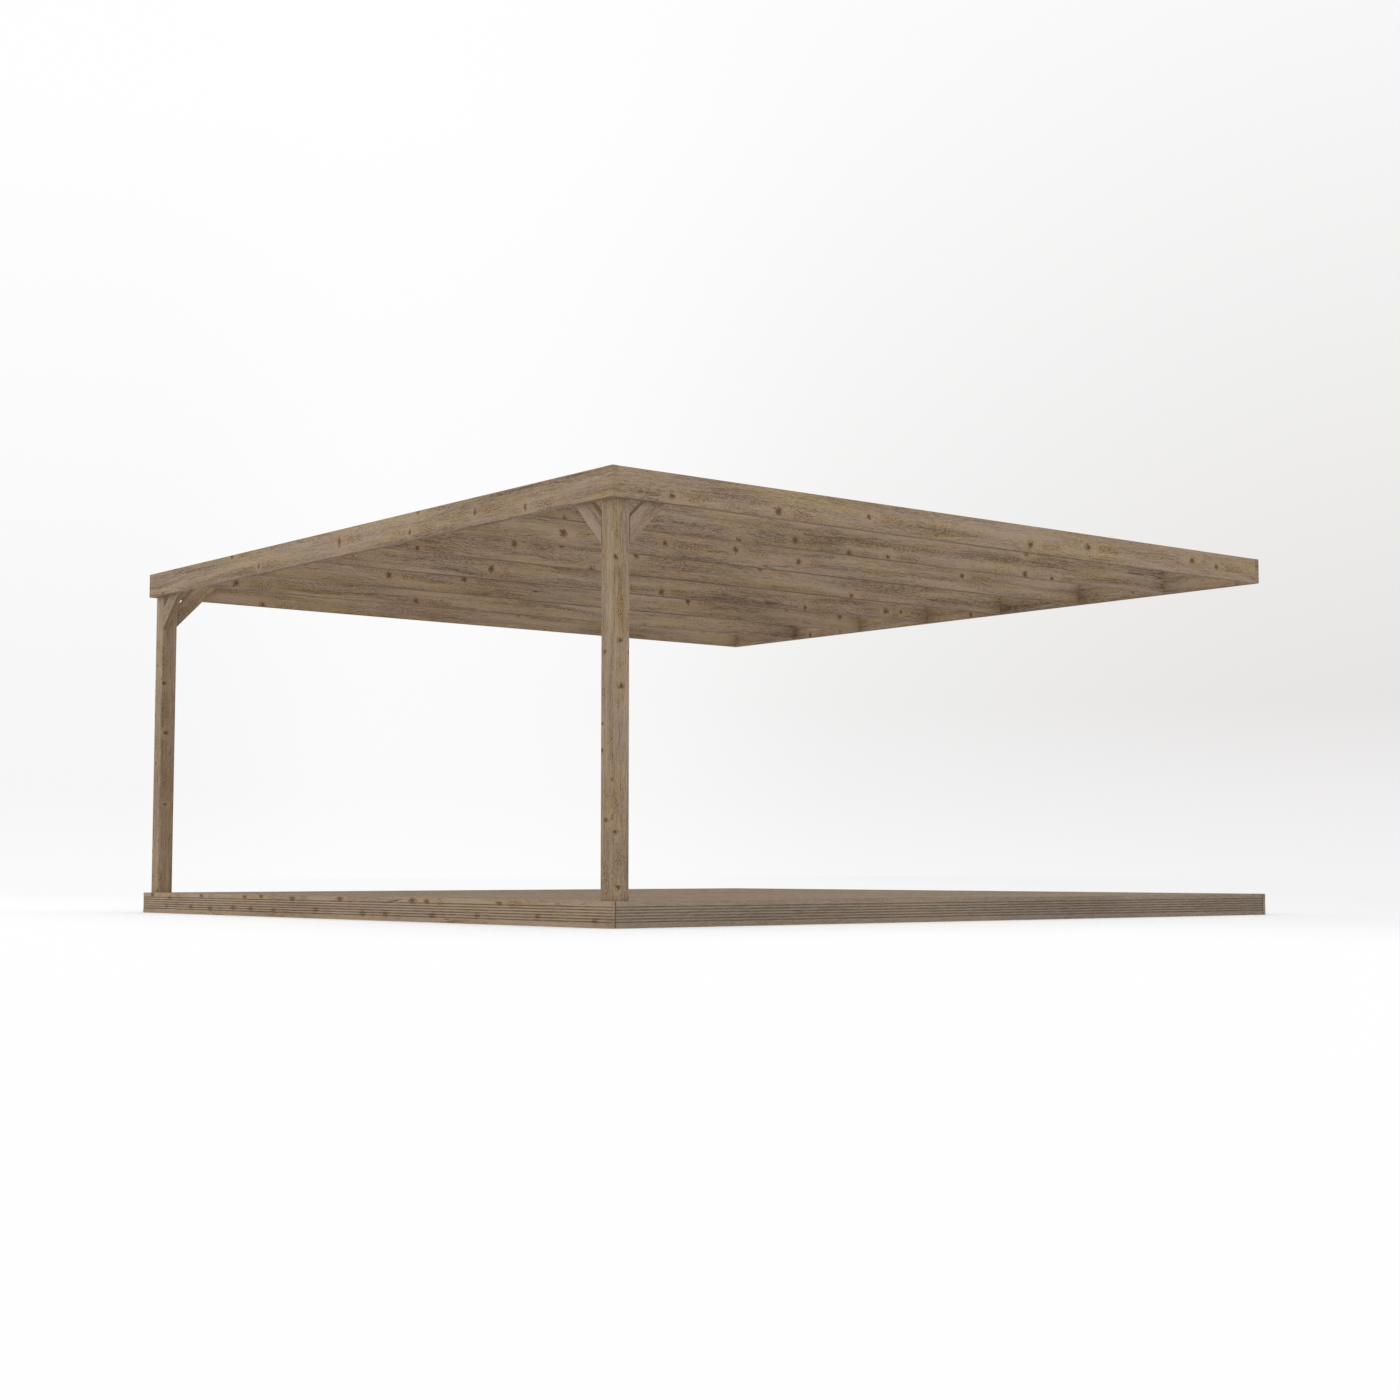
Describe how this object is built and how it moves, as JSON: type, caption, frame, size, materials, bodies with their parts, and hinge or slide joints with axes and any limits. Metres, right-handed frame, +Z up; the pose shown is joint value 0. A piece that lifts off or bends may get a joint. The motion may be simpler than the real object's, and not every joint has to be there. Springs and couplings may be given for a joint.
{
  "type": "wall-mounted pergola",
  "caption": "Open flat pergola of sawn timber: rafters between a wall ledger and a front beam on braced front posts, over a low deck edged with grooved boards.",
  "frame": {"origin": "middle of the wall ledger's back face, where it is fixed to the wall", "axes": "+Y points into the wall, +Z is up, +X runs along the wall to the right of someone who faces it"},
  "size_m": [6, 6, 2.625],
  "materials": {
    "roof_timber": "weathered brown knotty sawn timber, matt",
    "post_timber": "weathered grey-brown timber with long straight grain, matt",
    "edge_board": "grooved weathered board, matt",
    "joist_timber": "rough sawn timber, matt",
    "deck_board": "worn grey-brown decking, matt"
  },
  "bodies": {
    "root": {"wall_ledger": "roof_timber", "front_beam": "roof_timber", "side_beam_left": "roof_timber", "side_beam_right": "roof_timber", "rafter_1": "roof_timber", "rafter_2": "roof_timber", "rafter_3": "roof_timber", "rafter_4": "roof_timber", "rafter_5": "roof_timber", "rafter_6": "roof_timber", "post_left": "post_timber", "post_right": "post_timber", "brace_front_left": "post_timber", "brace_front_right": "post_timber", "brace_side_left": "post_timber", "brace_side_right": "post_timber", "deck_edge_front": "edge_board", "deck_edge_back": "edge_board", "deck_edge_left": "edge_board", "deck_edge_right": "edge_board", "deck_joist_01": "joist_timber", "deck_joist_02": "joist_timber", "deck_joist_03": "joist_timber", "deck_joist_04": "joist_timber", "deck_joist_05": "joist_timber", "deck_joist_06": "joist_timber", "deck_joist_07": "joist_timber", "deck_joist_08": "joist_timber", "deck_joist_09": "joist_timber", "deck_joist_10": "joist_timber", "deck_joist_11": "joist_timber", "deck_joist_12": "joist_timber", "deck_joist_13": "joist_timber", "deck_boards_1": "deck_board", "deck_boards_2": "deck_board", "deck_boards_3": "deck_board", "deck_boards_4": "deck_board"}
  },
  "joints": []
}
